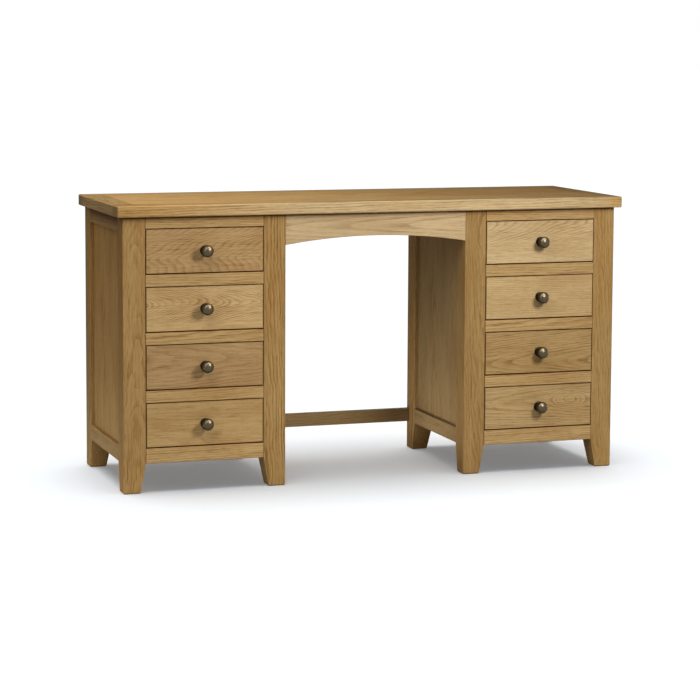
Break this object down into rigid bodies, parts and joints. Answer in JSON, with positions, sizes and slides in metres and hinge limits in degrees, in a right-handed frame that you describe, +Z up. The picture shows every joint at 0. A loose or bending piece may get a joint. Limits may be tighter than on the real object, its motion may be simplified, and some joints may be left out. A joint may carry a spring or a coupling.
{
  "type": "pedestal dressing table",
  "caption": "Oak dressing table with a framed top over twin drawer pedestals, an arched rail across the kneehole, a low back stretcher and sliding drawers with round metal knobs.",
  "frame": {"origin": "on the floor, under the middle of the box round the whole table with its drawers shut", "axes": "+X along the width, to the right as seen from the front; +Y from front to back; +Z up"},
  "size_m": [1.47, 0.514, 0.78],
  "materials": {
    "oak": "satin lacquered oak",
    "drawer_wood": "sanded pale hardwood",
    "inner_wood": "planed hardwood",
    "back_board": "oak-faced board",
    "knob_metal": "dark antiqued metal"
  },
  "bodies": {
    "carcass": {"back_stretcher": "oak", "drawer_kickers": "inner_wood", "kneehole_arch_rail": "oak", "kneehole_back_rail": "oak", "left_back_panel": "back_board", "left_back_rails": "oak", "left_drawer_rails": "oak", "left_drawer_runners": "inner_wood", "left_drawer_stops": "inner_wood", "left_inner_back_post": "oak", "left_inner_front_post": "oak", "left_inner_side_panel": "oak", "left_inner_side_rails": "oak", "left_outer_back_post": "oak", "left_outer_front_post": "oak", "left_outer_side_panel": "oak", "left_outer_side_rails": "oak", "right_back_panel": "back_board", "right_back_rails": "oak", "right_drawer_rails": "oak", "right_drawer_runners": "inner_wood", "right_drawer_stops": "inner_wood", "right_inner_back_post": "oak", "right_inner_front_post": "oak", "right_inner_side_panel": "oak", "right_inner_side_rails": "oak", "right_outer_back_post": "oak", "right_outer_front_post": "oak", "right_outer_side_panel": "oak", "right_outer_side_rails": "oak", "top_back_band": "oak", "top_buttons": "inner_wood", "top_front_band": "oak", "top_left_end_band": "oak", "top_panel": "oak", "top_right_end_band": "oak"},
    "left_drawer_1": {"left_drawer_1_box": "drawer_wood", "left_drawer_1_front": "oak", "left_drawer_1_knob": "knob_metal"},
    "left_drawer_2": {"left_drawer_2_box": "drawer_wood", "left_drawer_2_front": "oak", "left_drawer_2_knob": "knob_metal"},
    "left_drawer_3": {"left_drawer_3_box": "drawer_wood", "left_drawer_3_front": "oak", "left_drawer_3_knob": "knob_metal"},
    "left_drawer_4": {"left_drawer_4_box": "drawer_wood", "left_drawer_4_front": "oak", "left_drawer_4_knob": "knob_metal"},
    "right_drawer_1": {"right_drawer_1_box": "drawer_wood", "right_drawer_1_front": "oak", "right_drawer_1_knob": "knob_metal"},
    "right_drawer_2": {"right_drawer_2_box": "drawer_wood", "right_drawer_2_front": "oak", "right_drawer_2_knob": "knob_metal"},
    "right_drawer_3": {"right_drawer_3_box": "drawer_wood", "right_drawer_3_front": "oak", "right_drawer_3_knob": "knob_metal"},
    "right_drawer_4": {"right_drawer_4_box": "drawer_wood", "right_drawer_4_front": "oak", "right_drawer_4_knob": "knob_metal"}
  },
  "joints": [
    {"name": "left_drawer_1_slide", "type": "slide", "parent": "carcass", "child": "left_drawer_1", "axis": [0, -1, 0], "range_m": [0, 0.3]},
    {"name": "left_drawer_2_slide", "type": "slide", "parent": "carcass", "child": "left_drawer_2", "axis": [0, -1, 0], "range_m": [0, 0.3]},
    {"name": "left_drawer_3_slide", "type": "slide", "parent": "carcass", "child": "left_drawer_3", "axis": [0, -1, 0], "range_m": [0, 0.3]},
    {"name": "left_drawer_4_slide", "type": "slide", "parent": "carcass", "child": "left_drawer_4", "axis": [0, -1, 0], "range_m": [0, 0.3]},
    {"name": "right_drawer_1_slide", "type": "slide", "parent": "carcass", "child": "right_drawer_1", "axis": [0, -1, 0], "range_m": [0, 0.3]},
    {"name": "right_drawer_2_slide", "type": "slide", "parent": "carcass", "child": "right_drawer_2", "axis": [0, -1, 0], "range_m": [0, 0.3]},
    {"name": "right_drawer_3_slide", "type": "slide", "parent": "carcass", "child": "right_drawer_3", "axis": [0, -1, 0], "range_m": [0, 0.3]},
    {"name": "right_drawer_4_slide", "type": "slide", "parent": "carcass", "child": "right_drawer_4", "axis": [0, -1, 0], "range_m": [0, 0.3]}
  ]
}
